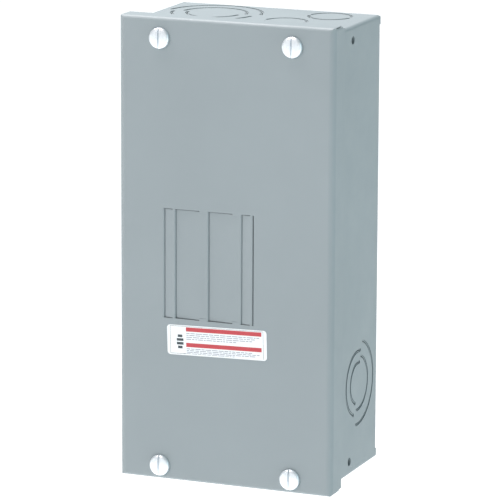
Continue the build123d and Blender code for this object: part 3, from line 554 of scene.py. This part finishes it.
def cover_screw(node):
    """Slotted screw with a low crowned head and a rolled thread."""
    low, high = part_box(node)
    top, tip = low[1], high[1]
    head_radius = (high[0] - low[0]) / 2
    seat = top + HEAD_HEIGHT
    thread_end = tip - COVER_POINT
    profile = head_profile(top, head_radius) + [(COVER_SHANK_RADIUS, seat)]
    profile += shank_rings(COVER_SHANK_RADIUS, seat + COVER_NECK, thread_end, COVER_PITCH)
    profile += [(COVER_TIP_RADIUS, tip), (0.0, tip)]
    mesh = lathe(profile)
    cut_thread(mesh, seat + COVER_THREAD_START, thread_end, COVER_PITCH, COVER_THREAD_DEPTH)
    finished = slotted(node + "_mesh", mesh, top, COVER_SLOT_WIDTH, COVER_SLOT_DEPTH, 4 * head_radius)
    replace_screw(node, finished)


def binding_screw(node, slot_width, slot_depth, pitch):
    """Headless slotted screw with a thread and a dog point, in shares of its own radius and length."""
    low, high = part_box(node)
    top, tip = low[1], high[1]
    radius = (high[0] - low[0]) / 2
    rim = 0.14 * radius
    dog_radius = 0.8 * radius
    dog_length = 0.18 * (tip - top)
    start, end = top + rim + 0.2 * MM, tip - dog_length
    profile = [(0.0, top), (radius - rim, top), (radius, top + rim)]
    profile += shank_rings(radius, start, end, pitch)
    profile += [(dog_radius, end + 0.2 * radius), (dog_radius, tip - 0.1 * radius)]
    profile += [(0.7 * radius, tip), (0.0, tip)]
    mesh = lathe(profile)
    cut_thread(mesh, start, end, pitch, 0.4 * pitch)
    finished = slotted(node + "_mesh", mesh, top, slot_width, slot_depth, 4 * radius)
    replace_screw(node, finished)


def add_screws():
    """Stands in a detailed screw for every screw that moves."""
    for node in sorted(NODES):
        if node.startswith("cover_screw_"):
            cover_screw(node)
        elif node.startswith("terminal_screw_"):
            binding_screw(node, slot_width=0.9 * MM, slot_depth=1.4 * MM, pitch=0.8 * MM)
        elif node.startswith("main_lug_screw_") or node == "neutral_lug_screw":
            binding_screw(node, slot_width=1.4 * MM, slot_depth=2.2 * MM, pitch=1.3 * MM)


# ---- camera, light and stage: metres and watts --------------------------------------------
CAMERA_PLACE = (0.7811, -1.9604, 0.4474)
CAMERA_TARGET = (0.01172, -0.07054, 0.00386)
CAMERA_LENS = 289.8        # mm
CAMERA_ROLL = 0.22         # degrees

SURROUNDINGS = (1.0, 1.1, 1.13)
SURROUNDINGS_STRENGTH = 0.36
LAMPS = (                  # name, place, target, size, power, colour
    ("overhead", (-0.6, 0.1, 1.8), (0, -0.05, 0), (1.3, 1.3), 66, (1.0, 0.94, 0.93)),
    ("key", (-1.0, -2.1, 1.4), (0, -0.07, 0), (1.0, 1.0), 27.5, (1.0, 0.85, 0.83)),
    ("fill", (2.4, -0.5, 0.5), (0, -0.05, 0), (1.6, 1.2), 9, (0.72, 1.1, 1.15)),
)

FLOOR_DROP = 0.65          # below the object, which hangs on a wall
FLOOR_HALF = 60.0


def add_camera():
    """The camera stands right of the object and a little above it, far away with a long lens."""
    data = bpy.data.cameras.new("camera")
    data.sensor_width = 36.0
    data.lens = CAMERA_LENS
    data.clip_end = 100.0
    camera = bpy.data.objects.new("camera", data)
    bpy.context.scene.collection.objects.link(camera)
    camera.location = CAMERA_PLACE
    aim = (Vector(CAMERA_TARGET) - camera.location).to_track_quat("-Z", "Y")
    roll = Quaternion((0, 0, 1), math.radians(CAMERA_ROLL))
    camera.rotation_euler = (aim @ roll).to_euler()
    bpy.context.scene.camera = camera


def add_lamp(name, place, target, size, power, color):
    data = bpy.data.lights.new(name, "AREA")
    data.color = color
    data.shape = "RECTANGLE"
    data.size, data.size_y = size
    data.energy = power
    lamp = bpy.data.objects.new(name, data)
    bpy.context.scene.collection.objects.link(lamp)
    lamp.location = place
    lamp.rotation_euler = (Vector(target) - lamp.location).to_track_quat("-Z", "Y").to_euler()


def add_light():
    """A soft box overhead, a key light at the upper left, a weaker one at the right, pale surroundings."""
    scene = bpy.context.scene
    world = bpy.data.worlds.new("surroundings")
    world.use_nodes = True
    background = world.node_tree.nodes["Background"]
    background.inputs["Color"].default_value = (*SURROUNDINGS, 1.0)
    background.inputs["Strength"].default_value = SURROUNDINGS_STRENGTH
    scene.world = world
    scene.view_settings.view_transform = "Standard"
    scene.view_settings.look = "None"
    for lamp in LAMPS:
        add_lamp(*lamp)


def add_floor():
    """A pale floor below the object."""
    z = cad_bounds[0][2] - FLOOR_DROP
    half = FLOOR_HALF
    mesh = bpy.data.meshes.new("floor")
    corners = [(-half, -half, z), (half, -half, z), (half, half, z), (-half, half, z)]
    mesh.from_pydata(corners, [], [(0, 1, 2, 3)])
    floor = bpy.data.objects.new("floor", mesh)
    mesh.materials.append(stage_white())
    bpy.context.scene.collection.objects.link(floor)


add_camera()
add_light()
add_floor()
paint_nodes()
print_bands()
print_rules()
print_border()
add_screws()
